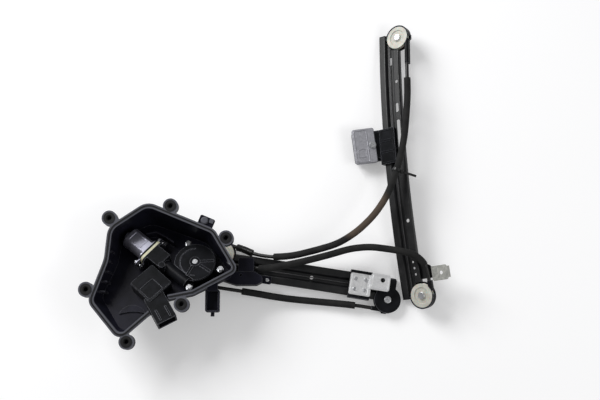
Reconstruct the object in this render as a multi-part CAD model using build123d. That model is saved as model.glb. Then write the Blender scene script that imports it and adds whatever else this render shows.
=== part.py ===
from build123d import *
import os
from math import atan2, cos, degrees, pi, radians, tan

# Window regulator with two cable rails, a motor carrier pan and a gear motor. Millimetres, +Z up.
# The assembly lies on a flat surface. Every piece is modelled where it lies, and the shift below
# puts the origin at the middle of the bounding box, on that surface.
ORIGIN = Vector(-57.2, 23.9, 0.13)

# ---- Fits ----
RUNNING_GAP = 0.3
SHAFT_GAP = 0.05
SEAT_GAP = 0.1

# ---- Rails: stamped sheet, bent along an arc, the same section for both ----
RAIL_RADIUS = 1600.0
RAIL_WIDTH = 42.0
RAIL_SHEET = 1.5
RAIL_BEND = 1.6
CHANNEL_TOP_WIDTH = 18.0
CHANNEL_FLOOR_WIDTH = 12.0
CHANNEL_DEPTH = 6.0
LIP_DEPTH = 7.5
LOWER_RAIL_START = -171.0
LOWER_RAIL_END = 161.0
UPRIGHT_RAIL_START = -240.0
UPRIGHT_RAIL_END = 247.0

# ---- Cable and pulleys ----
CABLE_RADIUS = 0.8
CABLE_LEVEL = -3.0
PULLEY_RADIUS = 21.0
PULLEY_PITCH_RADIUS = 18.2
PULLEY_THICKNESS = 7.0
PULLEY_HUB_RADIUS = 7.5
PIN_RADIUS = 3.0
PIN_HEAD_RADIUS = 6.4
PIN_HEAD_HEIGHT = 1.6
LOWER_FAR_PULLEY = 149.8
LOWER_NEAR_PULLEY = -151.0
UPRIGHT_PULLEY = 236.0

# ---- Pulley housings ----
HOUSING_BASE = 2.0
HOUSING_WALL = 2.2
TONGUE_LENGTH = 32.0
FITTING_RADIUS = 3.8
END_COVER_THICKNESS = 2.2

# ---- Carriers ----
LOWER_SLIDER_START = 79.0
LOWER_SLIDER_LENGTH = 38.0
UPRIGHT_SLIDER_START = 3.0
UPRIGHT_SLIDER_LENGTH = 64.0
SLIDER_WALL = 3.2
SLIDER_TOP = 6.0
NIPPLE_RADIUS = 2.3
NIPPLE_LENGTH = 9.0
GLASS_PLATE_THICKNESS = 2.5
CARRIER_RIVETS = ((-9.0, -9.0), (-9.0, 9.0), (9.0, -9.0), (9.0, 9.0))
CARRIER_RIVET_RADIUS = 1.8
CLAMP_HALF_WIDTH = 20.0
CLAMP_HALF_LENGTH = 32.0
JAW_BOTTOM = 7.0
JAW_TOP = 13.0
GLASS_SLOT = 5.6
CLAMP_PLATE_THICKNESS = 6.0
CLAMP_BOLT_X = 14.0
PAD_THICKNESS = 0.6

# ---- Conduits and their foam sleeves ----
CONDUIT_RADIUS = 3.2
SLEEVE_RADIUS = 6.0
BEND_SHARE = 0.45
BOOT_STARTS = (7.0, 18.0, 29.0)
BOOT_LENGTH = 10.0
BOOT_RIBS = 4
BOOT_RADIUS = 4.6
BOOT_RIB_RADIUS = 6.2
FITTING_START = 6.0
NEAR_FITTING_REACH = 14.0
FAR_FITTING_REACH = 26.0
TOP_FITTING_REACH = 54.0
BOTTOM_FITTING_REACH = 24.0
DRUM_FITTING_REACH = 30.0
NEAR_LEAD_TURN = 8.0
MIDDLE_LEAD_TURN = 6.0
LOWER_LEAD_TURN = 14.0
TIE_POSITION = 0.645
TIE_TURN = 0.0

# ---- Motor carrier pan ----
PAN_RIM_LEVEL = 90.0
PAN_WALL = 2.5
FLANGE_WIDTH = 8.0
FLANGE_THICKNESS = 3.2
FLOOR_TILT = 22.0
SEAL_WIDTH = 2.6
SEAL_HEIGHT = 2.4
SEAL_GROOVE_DEPTH = 1.4
EAR_RADIUS = 13.0
EAR_HEIGHT = 18.0
EAR_FLOOR = 2.0
EAR_BORE_RADIUS = 8.0
EAR_RECESS_RADIUS = 10.0
GROMMET_FLANGE = 2.0
EAR_HOLE_RADIUS = 3.5
SCREEN_LINE = ((-89.2, 61.1), (-72.8, 64.7), (-53.4, 53.9), (-41.4, 44.3))
SCREEN_HEIGHT = 17.0
CRESCENT_ARC = ((-126.1, -88.7), (-106.0, -72.5), (-82.0, -87.7))
CRESCENT_LOW = (-103.0, -84.5)
CRESCENT_HEIGHT = 4.0
PAN_RIB_COUNT = 5
PAN_RIB_X = -334.0
PAN_RIB_Y = -104.0
PAN_RIB_PITCH = 17.0

# ---- Gear motor ----
WHEEL_AXIS = Vector(-181.2, -127.8, 36.4)
WORM_OFFSET = 35.6
WORM_LEVEL = 17.5
WORM_ANGLE = -40.34
GEAR_MODULE = 1.0
WHEEL_TEETH = 60
WHEEL_THICKNESS = 8.0
WHEEL_CASE_RADIUS = 36.0
WHEEL_CASE_HEIGHT = 22.0
CASE_WALL = 2.4
COVER_THICKNESS = 2.2
CAN_WIDTH = 38.0
CAN_HEIGHT = 31.0
CAN_START = -123.0
CAN_END = -78.5
CAN_WALL = 1.6
MOTOR_SHAFT_RADIUS = 2.0
OUTPUT_SHAFT_RADIUS = 4.5
DRUM_RADIUS = 22.0
DRUM_HEIGHT = 10.0
DRUM_CASE_DEPTH = 14.0
SCREW_RADIUS = 3.0
BUSH_RADIUS = 5.0
BUSH_LENGTH = 4.0
CAN_SCREW_Y = 28.4
LUG_RADIUS = 5.0
ARMATURE_RADIUS = 13.0
ARMATURE_SLOTS = 8
COMMUTATOR_RADIUS = 6.5
WORM_START = -10.0
WORM_END = 9.0
SHAFT_END = 14.0
WORM_TUBE_RADIUS = 10.5
WORM_ROOT_RADIUS = 3.3
WORM_CREST_RADIUS = 4.4
BLOCK_END = -38.0
COVER_RIB_ANGLES = (3.5, -35.0, -116.0)
DRUM_GROOVES = 4
DRUM_CASE_WALL = 2.0

# ---- Electronics ----
BOX_TOP = 24.0
BOX_WALL = 2.0
BOARD_LEVEL = 12.0
SHROUD_HALF_WIDTH = 17.5
SHROUD_BOTTOM = 3.0
SHROUD_TOP = 24.0
SHROUD_END = 31.0
SHROUD_WALL = 2.2
PIN_COLUMNS = 7
PIN_PITCH = 3.3

# ---- Holes in the rails: along, across, then width, or length and width ----
LOWER_RAIL_HOLES = ((12.0, 0.0, 6.5), (-64.0, -17.0, 4.0), (-108.0, -17.5, 4.0))
UPRIGHT_RAIL_SLOTS = (
    (196.0, 0.0, 16.0, 5.0),
    (152.0, -14.0, 6.0, 6.0),
    (103.0, -12.5, 17.0, 7.0),
    (45.0, -13.0, 71.0, 8.0),
    (-103.0, -13.0, 6.4, 6.4),
    (-176.0, -11.5, 4.0, 4.0),
    (-187.0, -12.5, 4.0, 4.0),
    (-198.0, -13.5, 4.0, 4.0),
)

# ---- Pan outlines in plan: x, y, corner radius ----
RIM_CORNERS = (
    (-262.0, -18.0, 30.0),
    (-146.0, -66.0, 25.0),
    (-103.0, -137.0, 13.0),
    (-180.0, -178.0, 15.0),
    (-222.0, -186.0, 12.0),
    (-303.0, -257.0, 18.0),
    (-359.0, -190.0, 20.0),
    (-333.0, -118.0, 60.0),
    (-328.0, -62.0, 30.0),
)
FLOOR_CORNERS = (
    (-264.0, -44.0, 25.0),
    (-166.0, -80.0, 25.0),
    (-117.0, -140.0, 10.0),
    (-184.0, -175.0, 15.0),
    (-226.0, -184.0, 12.0),
    (-298.0, -243.0, 14.0),
    (-340.0, -180.0, 18.0),
    (-318.0, -118.0, 50.0),
    (-314.0, -66.0, 25.0),
)
# Screw ears at the rim: x, y, and the direction of the web towards the rim
EARS = (
    (-326.0, -47.0, -30.0),
    (-222.0, -26.0, -120.0),
    (-126.2, -81.2, -135.0),
    (-362.0, -169.0, -20.0),
    (-291.0, -257.0, 110.0),
    (-200.0, -194.0, 90.0),
)
EAR_WEB_LENGTH = 24.0
EAR_WEB_WIDTH = 15.0
ARM_CORNERS = (
    (-134.0, -134.2),
    (-78.0, -134.2),
    (-66.0, -142.0),
    (-66.0, -152.0),
    (-76.0, -157.0),
    (-112.0, -157.0),
    (-134.0, -150.0),
)
ARM_TOP = 45.0
ARM_BOTTOM = 18.4
# Pads where the arm stands on the lower rail: along, across
ARM_PADS = ((-64.0, -17.0), (-108.0, -17.5))
MOTOR_SCREWS = ((-14.1, 40.0), (43.5, -10.5), (-8.5, -45.6))
MOTOR_EAR_HEIGHT = 16.0

# ---- Conduit routes between their end fittings, over the rails ----
UPPER_ROUTE = (
    (-80, -101, 21),
    (-50, -107, 29),
    (-14, -106, 38),
    (26, -97, 43),
    (66, -86, 49),
    (100, -65, 54),
    (130, -36, 58),
    (152, -3, 60),
    (166, 33, 60),
    (177, 68, 58),
    (185, 108, 55),
    (189, 148, 52),
    (192, 184, 49),
)
MIDDLE_ROUTE = (
    (-112, -121, 25),
    (-88, -127, 36),
    (-58, -129, 44),
    (-24, -123, 48),
    (14, -115, 50),
    (52, -105, 49),
    (88, -94, 47),
    (122, -91, 48),
    (152, -95, 50),
    (176, -99, 52),
    (198, -104.5, 51.5),
    (213.5, -117, 48.5),
)
LOWER_ROUTE = (
    (-118, -165, 38),
    (-97, -168, 35),
    (-75, -171, 28),
    (-49, -175, 19),
    (-18, -179, 12),
    (16, -182, 9),
    (48, -185, 9),
    (79, -188, 11),
)

# ---- Frames ----
LOWER_RAIL_FRAME = Plane(origin=(8.5, -139.6, 19.4), x_dir=(0.9882, -0.153, 0), z_dir=(0, 0, 1)).location
UPRIGHT_RAIL_FRAME = Plane(
    origin=(169.2, 58.0, 34.2), x_dir=(-0.0752, 0.9972, 0), z_dir=(-0.6, -0.0452, 0.7987)
).location
MOTOR_FRAME = Location(WHEEL_AXIS, (-FLOOR_TILT, 0, 0))
WORM_FOOT = Vector(WORM_OFFSET, 0, 0).rotate(Axis.Z, WORM_ANGLE - 90)
WORM_FRAME = MOTOR_FRAME * Location((WORM_FOOT.X, WORM_FOOT.Y, WORM_LEVEL), (0, 0, WORM_ANGLE))
ELECTRONICS_FRAME = MOTOR_FRAME * Location((-72.0, -40.0, 0), (0, 0, -43.8))
SHROUD_FRAME = ELECTRONICS_FRAME * Location((40.3, -20.1, 0), (0, 0, -16.4))
RAIL_SECTION_PLANE = Plane(origin=(0, 0, 0), x_dir=(0, 1, 0), z_dir=(1, 0, 0))
RAIL_AXIS = Axis((0, 0, -RAIL_RADIUS), (0, 1, 0))


def on_rail(rail, along, across, out=0.0):
    """Place on a curved rail: along it, across it to the left, and out of its face."""
    turn = Location((0, 0, 0), (0, degrees(along / RAIL_RADIUS), 0))
    return rail * Location((0, 0, -RAIL_RADIUS)) * turn * Location((0, across, RAIL_RADIUS + out))


def along_rail(rail, section, start, end):
    """Solid of a section (across, out) that follows the rail's arc."""
    face = RAIL_SECTION_PLANE * section
    arc = degrees((end - start) / RAIL_RADIUS)
    solid = revolve(face, axis=RAIL_AXIS, revolution_arc=arc)
    return rail * solid.rotate(RAIL_AXIS, degrees(start / RAIL_RADIUS))


def outline(*points):
    """Closed face through points."""
    return make_face(Polyline(*points, close=True))


def turned(*points):
    """Solid of revolution about Z from a profile of (radius, height) points."""
    return revolve(Plane.XZ * outline(*points), axis=Axis.Z)


def post(radius, bottom, top):
    """Upright cylinder between two heights."""
    return Location((0, 0, bottom)) * extrude(Circle(radius), top - bottom)


def ring(outer, inner, bottom, top):
    """Upright tube between two heights."""
    return post(outer, bottom, top) - post(inner, bottom - 1, top + 1)


def plate(x0, x1, y0, y1, z0, z1, corner=0.0):
    """Upright block between limits, with rounded upright corners."""
    face = RectangleRounded(x1 - x0, y1 - y0, corner) if corner else Rectangle(x1 - x0, y1 - y0)
    return Location(((x0 + x1) / 2, (y0 + y1) / 2, z0)) * extrude(face, z1 - z0)


def group(shapes):
    """One flat compound of all the solids of some shapes."""
    return Compound([solid for shape in shapes for solid in shape.solids()])


# ---- Rails ----
def rail_section():
    """Top hat sheet: a channel for the cable in the middle and a lip folded down at each edge."""
    edge = (RAIL_WIDTH - RAIL_SHEET) / 2
    face = -RAIL_SHEET / 2
    floor = face - CHANNEL_DEPTH
    lip = -LIP_DEPTH - RAIL_SHEET
    line = FilletPolyline(
        (-edge, lip),
        (-edge, face),
        (-CHANNEL_TOP_WIDTH / 2, face),
        (-CHANNEL_FLOOR_WIDTH / 2, floor),
        (CHANNEL_FLOOR_WIDTH / 2, floor),
        (CHANNEL_TOP_WIDTH / 2, face),
        (edge, face),
        (edge, lip),
        radius=RAIL_BEND,
    )
    # The lips are drawn too long and cut square
    spare = Location((0, -LIP_DEPTH - RAIL_WIDTH / 2)) * Rectangle(2 * RAIL_WIDTH, RAIL_WIDTH)
    return make_face(offset(line, amount=RAIL_SHEET / 2)) - spare


def rail_cut(rail, along, across, length, width):
    """Slot through the rail's face with round ends."""
    shape = SlotOverall(length, width) if length > width else Circle(width / 2)
    return on_rail(rail, along, across, -20) * extrude(shape, 30)


def pulley_clearance(rail, along, side):
    """Room in a rail end for a pulley and its housing wall."""
    reach = PULLEY_RADIUS + HOUSING_WALL + 2 * RUNNING_GAP
    return on_rail(rail, along, side * PULLEY_PITCH_RADIUS, -20) * extrude(Circle(reach), 30)


def lower_rail():
    rail = LOWER_RAIL_FRAME
    body = along_rail(rail, rail_section(), LOWER_RAIL_START, LOWER_RAIL_END)
    body -= pulley_clearance(rail, LOWER_FAR_PULLEY, -1)
    body -= pulley_clearance(rail, LOWER_NEAR_PULLEY, 1)
    for along, across, width in LOWER_RAIL_HOLES:
        body -= rail_cut(rail, along, across, width, width)
    return body


def upright_rail():
    rail = UPRIGHT_RAIL_FRAME
    body = along_rail(rail, rail_section(), UPRIGHT_RAIL_START, UPRIGHT_RAIL_END)
    for end in (-UPRIGHT_PULLEY, UPRIGHT_PULLEY):
        body -= pulley_clearance(rail, end, -1)
    for along, across, length, width in UPRIGHT_RAIL_SLOTS:
        body -= rail_cut(rail, along, across, length, width)
    return body


# ---- Cables ----
def pulley_place(rail, along, side):
    """Frame of a pulley: its cable's straight run is over the middle of the channel."""
    return on_rail(rail, along, side * PULLEY_PITCH_RADIUS, CABLE_LEVEL)


LOWER_FAR = pulley_place(LOWER_RAIL_FRAME, LOWER_FAR_PULLEY, -1)
LOWER_NEAR = pulley_place(LOWER_RAIL_FRAME, LOWER_NEAR_PULLEY, 1)
UPRIGHT_TOP = pulley_place(UPRIGHT_RAIL_FRAME, UPRIGHT_PULLEY, -1)
UPRIGHT_BOTTOM = pulley_place(UPRIGHT_RAIL_FRAME, -UPRIGHT_PULLEY, -1)
DRUM_LEVEL = -PAN_WALL - DRUM_CASE_DEPTH / 2
# Frames whose X runs out along the conduit, from the point where the cable leaves its wheel
LOWER_FAR_LEAD = LOWER_FAR * Location((0, -PULLEY_PITCH_RADIUS, 0), (0, 0, 180))
LOWER_NEAR_LEAD = LOWER_NEAR * Location((0, 0, 0), (0, 0, -NEAR_LEAD_TURN)) * Location((0, PULLEY_PITCH_RADIUS, 0))
UPRIGHT_TOP_LEAD = UPRIGHT_TOP * Location((0, -PULLEY_PITCH_RADIUS, 0), (0, 0, 180))
UPRIGHT_BOTTOM_LEAD = UPRIGHT_BOTTOM * Location((0, -PULLEY_PITCH_RADIUS, 0))
DRUM_CENTRE = MOTOR_FRAME * Location((0, 0, DRUM_LEVEL))
DRUM_MIDDLE_LEAD = DRUM_CENTRE * Location((0, 0, 0), (0, 0, -MIDDLE_LEAD_TURN)) * Location((0, DRUM_RADIUS, 0))
DRUM_LOWER_LEAD = DRUM_CENTRE * Location((0, 0, 0), (0, 0, -LOWER_LEAD_TURN)) * Location((0, -DRUM_RADIUS, 0))


def lead_point(lead, reach):
    """Point at a distance along a lead."""
    return (lead * Location((reach, 0, 0))).position


def conduit_path(first_lead, first_reach, route, last_lead, last_reach):
    """Smooth wire from one fitting to the other, straight where it enters each."""
    points = [lead_point(first_lead, first_reach), lead_point(first_lead, first_reach + 18)]
    points += [Vector(*point) for point in route]
    points += [lead_point(last_lead, last_reach + 18), lead_point(last_lead, last_reach)]
    radii = []
    for before, here, after in zip(points, points[1:], points[2:]):
        turn = radians((here - before).get_angle(after - here))
        run = min((here - before).length, (after - here).length)
        radii.append(BEND_SHARE * run / tan(turn / 2))
    print("conduit radii", [round(radius) for radius in radii])
    print("conduit points", [tuple(round(value, 1) for value in point) for point in points])
    return FilletPolyline(*points, radius=radii)


UPPER_PATH = conduit_path(
    LOWER_NEAR_LEAD, NEAR_FITTING_REACH, UPPER_ROUTE, UPRIGHT_TOP_LEAD, TOP_FITTING_REACH
)
MIDDLE_PATH = conduit_path(
    DRUM_MIDDLE_LEAD, DRUM_FITTING_REACH, MIDDLE_ROUTE, UPRIGHT_BOTTOM_LEAD, BOTTOM_FITTING_REACH
)
LOWER_PATH = conduit_path(
    DRUM_LOWER_LEAD, DRUM_FITTING_REACH, LOWER_ROUTE, LOWER_FAR_LEAD, FAR_FITTING_REACH
)


def tube_along(path, outer, inner=0.0):
    """Round tube or rod along a wire."""
    plane = Plane(origin=path @ 0, z_dir=path % 0)
    section = Circle(outer) - Circle(inner) if inner else Circle(outer)
    return sweep(plane * section, path=path)


def conduit(path):
    """Bowden conduit, a stiff hose round the cable."""
    return tube_along(path, CONDUIT_RADIUS)


def sleeve(path, start, end):
    """Foam sleeve over part of a conduit."""
    return tube_along(path.trim(start, end), SLEEVE_RADIUS, CONDUIT_RADIUS + SEAT_GAP)


def rail_cable(rail, first, last, leads):
    """Steel cable: the run in the channel, half a turn round each pulley and the two leads out."""
    (low, low_side, low_turn), (high, high_side, high_turn) = first, last
    wire = Location((0, CABLE_LEVEL)) * Circle(CABLE_RADIUS)
    body = along_rail(rail, wire, low, high)
    for along, side, start, turn in ((low, low_side, 90, low_turn), (high, high_side, -90, high_turn)):
        place = pulley_place(rail, along, side)
        # The wrap goes from the channel side round the end to the lead side
        section = Plane.XZ * Location((PULLEY_PITCH_RADIUS, 0)) * Circle(CABLE_RADIUS)
        wrap = revolve(section, axis=Axis.Z, revolution_arc=180 + turn)
        body += place * Location((0, 0, 0), (0, 0, start - turn)) * wrap
    for lead, reach in leads:
        rod = Plane.YZ * Circle(CABLE_RADIUS)
        body += lead * extrude(rod, reach)
    return body


# ---- Pulleys and their housings ----
def pulley():
    """Grooved pulley with a hub and a thinner web."""
    half = PULLEY_THICKNESS / 2
    floor = PULLEY_PITCH_RADIUS - CABLE_RADIUS - SEAT_GAP
    web = half - 1.6
    wheel = turned(
        (PIN_RADIUS + SHAFT_GAP, -half),
        (PULLEY_HUB_RADIUS, -half),
        (PULLEY_HUB_RADIUS + 0.8, -web),
        (floor - 3.6, -web),
        (floor - 2.8, -half),
        (PULLEY_RADIUS, -half),
        (PULLEY_RADIUS, -half + 1.2),
        (floor, -CABLE_RADIUS - SEAT_GAP),
        (floor, CABLE_RADIUS + SEAT_GAP),
        (PULLEY_RADIUS, half - 1.2),
        (PULLEY_RADIUS, half),
        (floor - 2.8, half),
        (floor - 3.6, web),
        (PULLEY_HUB_RADIUS + 0.8, web),
        (PULLEY_HUB_RADIUS, half),
        (PIN_RADIUS + SHAFT_GAP, half),
    )
    return wheel


HOUSING_TOP = PULLEY_THICKNESS / 2 + 0.4
HOUSING_FLOOR = -LIP_DEPTH - SEAT_GAP - CABLE_LEVEL


def pulley_housing(rail, along, side, lead, reach, inward, tongue_across):
    """Moulded cup round a pulley: floor, half a wall, a tongue under the rail and a cable fitting."""
    place = pulley_place(rail, along, side)
    outer = PULLEY_RADIUS + RUNNING_GAP + HOUSING_WALL
    cup = post(outer, HOUSING_FLOOR - HOUSING_BASE, HOUSING_TOP)
    cup -= post(outer - HOUSING_WALL, HOUSING_FLOOR, HOUSING_TOP + 1)
    # The wall is open towards the rail, where the cable runs in and out
    opening = sorted((0, inward * 2 * outer))
    cup -= plate(opening[0], opening[1], -outer, outer, HOUSING_FLOOR, HOUSING_TOP + 1)
    cup += post(PULLEY_HUB_RADIUS, HOUSING_FLOOR - 0.01, -PULLEY_THICKNESS / 2 - RUNNING_GAP)
    body = place * cup
    under = CABLE_LEVEL + HOUSING_FLOOR
    low, high = tongue_across
    tongue = Location(((low + high) / 2, under - HOUSING_BASE / 2)) * Rectangle(high - low, HOUSING_BASE)
    ends = sorted((along + inward * 8, along + inward * TONGUE_LENGTH))
    body += along_rail(rail, tongue, ends[0], ends[1])
    # The fitting is a socket on a foot that reaches down to the floor of the housing
    rod = Plane.YZ * Circle(FITTING_RADIUS)
    socket = Location((FITTING_START, 0, 0)) * extrude(rod, reach - FITTING_START)
    half = FITTING_RADIUS - 0.6
    socket += plate(FITTING_START, reach, -half, half, HOUSING_FLOOR - HOUSING_BASE, 0)
    socket += plate(-2, FITTING_START + 1, -half, 2 * half, HOUSING_FLOOR - HOUSING_BASE, HOUSING_FLOOR)
    bore = Location((-5, 0, 0)) * extrude(Plane.YZ * Circle(CABLE_RADIUS + RUNNING_GAP), reach + 10)
    room = post(PULLEY_RADIUS + RUNNING_GAP, -PULLEY_THICKNESS / 2 - RUNNING_GAP, HOUSING_TOP + 9)
    body += lead * (socket - bore) - place * room
    return body - place * post(PIN_RADIUS, -20, 20)


def rivet(bottom, top, radius, head_radius, head_height):
    """Round headed rivet standing on Z, with its head at the top."""
    head = post(head_radius, top, top + head_height)
    head = fillet(head.edges().group_by(Axis.Z)[-1], head_height * 0.6)
    return post(radius, bottom, top + 0.01) + head


def pulley_rivets():
    """One rivet through each pulley."""
    bottom = HOUSING_FLOOR - HOUSING_BASE
    top = PULLEY_THICKNESS / 2 + RUNNING_GAP
    pins = []
    for place in (LOWER_NEAR, UPRIGHT_TOP, UPRIGHT_BOTTOM):
        pins.append(place * rivet(bottom, top, PIN_RADIUS, PIN_HEAD_RADIUS, PIN_HEAD_HEIGHT))
    cover_top = HOUSING_TOP + END_COVER_THICKNESS
    pins.append(LOWER_FAR * rivet(bottom, cover_top, PIN_RADIUS, PIN_HEAD_RADIUS, PIN_HEAD_HEIGHT))
    return group(pins)


def lower_end_cover():
    """Plate over the far pulley of the lower rail, carried by its rivet and the housing's wall."""
    outer = PULLEY_RADIUS + RUNNING_GAP + HOUSING_WALL
    body = post(outer, HOUSING_TOP, HOUSING_TOP + END_COVER_THICKNESS)
    corner = plate(-12, 12, 6, 37, HOUSING_TOP, HOUSING_TOP + END_COVER_THICKNESS, 3)
    body += corner
    body -= post(PIN_RADIUS, -20, 20)
    return LOWER_FAR * body


# ---- Lower carrier ----
def slider_section(left, right):
    """Block on the rail's face with a lug in the channel, wrapping the lip on each side named."""
    top = SLIDER_TOP
    face = RUNNING_GAP
    lug = CHANNEL_FLOOR_WIDTH / 2 - 1.6
    lug_floor = -CHANNEL_DEPTH + 0.6
    edge = RAIL_WIDTH / 2 + RUNNING_GAP
    toe_top = -LIP_DEPTH - RUNNING_GAP
    toe_floor = toe_top - 2.8
    right_side = [(edge + SLIDER_WALL, top), (edge + SLIDER_WALL, toe_floor), (edge - 3.6, toe_floor)]
    right_side += [(edge - 3.6, toe_top), (edge, toe_top), (edge, face)]
    lug_points = [(lug, face), (lug, lug_floor), (-lug, lug_floor), (-lug, face)]
    left_side = [(-across, out) for across, out in reversed(right_side)]
    if not right:
        right_side = [(lug + 4, top), (lug + 4, face)]
    if not left:
        left_side = [(-lug - 2, face), (-lug - 2, top)]
    return outline(*right_side, *lug_points, *left_side)


def slider(rail, start, length, left, right):
    """Plastic slider with the pocket for its cable nipple."""
    body = along_rail(rail, slider_section(left, right), start, start + length)
    bore = Location((0, CABLE_LEVEL)) * Circle(CABLE_RADIUS + RUNNING_GAP)
    body -= along_rail(rail, bore, start - 1, start + length + 1)
    pocket = Location((0, CABLE_LEVEL)) * Circle(NIPPLE_RADIUS + SEAT_GAP)
    middle = start + length / 2
    body -= along_rail(rail, pocket, middle - NIPPLE_LENGTH / 2, middle + NIPPLE_LENGTH / 2)
    return body


def nipple(rail, middle):
    """Cast nipple on the cable, in the slider's pocket."""
    section = Location((0, CABLE_LEVEL)) * (Circle(NIPPLE_RADIUS) - Circle(CABLE_RADIUS + RUNNING_GAP))
    half = NIPPLE_LENGTH / 2 - SEAT_GAP
    return along_rail(rail, section, middle - half, middle + half)


LOWER_CARRIER_MIDDLE = LOWER_SLIDER_START + LOWER_SLIDER_LENGTH / 2
UPRIGHT_CARRIER_MIDDLE = UPRIGHT_SLIDER_START + UPRIGHT_SLIDER_LENGTH / 2


def lower_slider():
    body = slider(LOWER_RAIL_FRAME, LOWER_SLIDER_START, LOWER_SLIDER_LENGTH, True, True)
    place = on_rail(LOWER_RAIL_FRAME, LOWER_CARRIER_MIDDLE, 0)
    for x, y in CARRIER_RIVETS:
        body -= place * Location((x, y, 0)) * post(CARRIER_RIVET_RADIUS, 1, 9)
    return body


def lower_glass_carrier():
    """Bright pressed plate on the slider with a raised seat for the glass beside it."""
    base = SLIDER_TOP + SEAT_GAP
    body = plate(-19, 19, -19, 19, base, base + GLASS_PLATE_THICKNESS, 3)
    seat = plate(16.5, 50, -6, 23, 11, 18, 4)
    seat -= plate(19, 47.5, -3.5, 20.5, 10, 15.5, 3)
    riser = plate(16.5, 19, -6, 18, base, 16)
    body += riser + seat
    body -= Location((37, 12.6, 0)) * post(4.0, 0, 30)
    for x, y in CARRIER_RIVETS:
        body -= Location((x, y, 0)) * post(CARRIER_RIVET_RADIUS, 1, 30)
    return on_rail(LOWER_RAIL_FRAME, LOWER_CARRIER_MIDDLE, 0) * body


def lower_carrier_rivets():
    place = on_rail(LOWER_RAIL_FRAME, LOWER_CARRIER_MIDDLE, 0)
    top = SLIDER_TOP + SEAT_GAP + GLASS_PLATE_THICKNESS
    rivets = []
    for x, y in CARRIER_RIVETS:
        rivets.append(place * Location((x, y, 0)) * rivet(1, top, CARRIER_RIVET_RADIUS, 3.4, 1.2))
    return group(rivets)


# ---- Upright carrier ----
CLAMP_FRAME = Location((116.0, 94.0, 0), (0, 0, 7.5))


def upright_slider():
    """Slider with the lower jaw of the glass clamp moulded to its side."""
    rail = UPRIGHT_RAIL_FRAME
    body = slider(rail, UPRIGHT_SLIDER_START, UPRIGHT_SLIDER_LENGTH, False, True)
    reach = CLAMP_HALF_WIDTH + 16
    jaw = plate(-CLAMP_HALF_WIDTH, reach, -28, 28, JAW_BOTTOM, JAW_TOP, 3)
    jaw += plate(CLAMP_HALF_WIDTH + 0.3, reach, -24, 24, JAW_BOTTOM, JAW_TOP + 8)
    room = Location((RAIL_WIDTH / 2 + 1 - 40, 0)) * Rectangle(80, 80)
    start = UPRIGHT_SLIDER_START - 30
    jaw = CLAMP_FRAME * jaw - along_rail(rail, room, start, start + UPRIGHT_SLIDER_LENGTH + 60)
    body += jaw
    body -= CLAMP_FRAME * Location((CLAMP_BOLT_X, 0, 0)) * post(SCREW_RADIUS, 0, 40)
    return body


def glass_clamp_plate():
    """Cast upper jaw of the clamp, stepped down to the lower jaw beside the glass."""
    bottom = JAW_TOP + GLASS_SLOT
    top = bottom + CLAMP_PLATE_THICKNESS
    body = plate(-CLAMP_HALF_WIDTH, CLAMP_HALF_WIDTH, -CLAMP_HALF_LENGTH, CLAMP_HALF_LENGTH, bottom, top, 4)
    body = chamfer(body.edges().group_by(Axis.Z)[-1], 1.0)
    body += plate(8, CLAMP_HALF_WIDTH, -28, 28, JAW_TOP, bottom + 0.01)
    body -= Location((CLAMP_BOLT_X, 0, 0)) * post(SCREW_RADIUS, 0, 40)
    return CLAMP_FRAME * body


def glass_clamp_pads():
    """Rubber linings on both faces of the glass slot."""
    low = plate(-19, 7, -27, 27, JAW_TOP, JAW_TOP + PAD_THICKNESS)
    roof = JAW_TOP + GLASS_SLOT
    high = plate(-19, 7, -27, 27, roof - PAD_THICKNESS, roof)
    return group([CLAMP_FRAME * low, CLAMP_FRAME * high])


def hex_screw(shank_bottom, seat, radius, size, height):
    """Flanged hexagon screw standing on Z."""
    body = post(radius, shank_bottom, seat + 0.01)
    body += post(size / 2 + 1.6, seat, seat + 1.2)
    body += Location((0, 0, seat + 1.2)) * extrude(RegularPolygon(size / 2, 6, major_radius=False), height)
    return body


def clamp_bolt():
    seat = JAW_TOP + GLASS_SLOT + CLAMP_PLATE_THICKNESS
    return CLAMP_FRAME * Location((CLAMP_BOLT_X, 0, 0)) * hex_screw(JAW_BOTTOM, seat, SCREW_RADIUS, 10, 4)


# ---- Motor carrier pan ----
def rounded_face(corners, grow=0.0):
    """Face with a rounded corner at each point, grown outwards by a width."""
    points = [(x, y) for x, y, radius in corners]
    face = make_face(FilletPolyline(*points, radius=[radius for x, y, radius in corners], close=True))
    return offset(face, amount=grow) if grow else face


def floor_face(grow, level):
    """Floor outline on the tilted floor plane, grown outwards, at a height over that plane."""
    spread = cos(radians(FLOOR_TILT))
    corners = [
        (x - WHEEL_AXIS.X, (y - WHEEL_AXIS.Y) / spread, radius) for x, y, radius in FLOOR_CORNERS
    ]
    return MOTOR_FRAME * Location((0, 0, level)) * rounded_face(corners, grow)


def rim_face(grow):
    """Rim outline at the top of the pan, grown outwards."""
    return Location((0, 0, PAN_RIM_LEVEL)) * rounded_face(RIM_CORNERS, grow)


def ear_place(ear):
    """Frame at the top of a screw ear."""
    x, y, direction = ear
    return Location((x, y, PAN_RIM_LEVEL), (0, 0, direction))


def pan_arm():
    """Hollow arm on the pan's side that stands on the lower rail."""
    shape = outline(*ARM_CORNERS)
    arm = Location((0, 0, ARM_BOTTOM)) * extrude(shape, ARM_TOP - ARM_BOTTOM)
    inside = offset(shape, amount=-PAN_WALL)
    arm -= Location((0, 0, ARM_BOTTOM - 1)) * extrude(inside, ARM_TOP - ARM_BOTTOM + 1 - PAN_WALL)
    return arm


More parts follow.
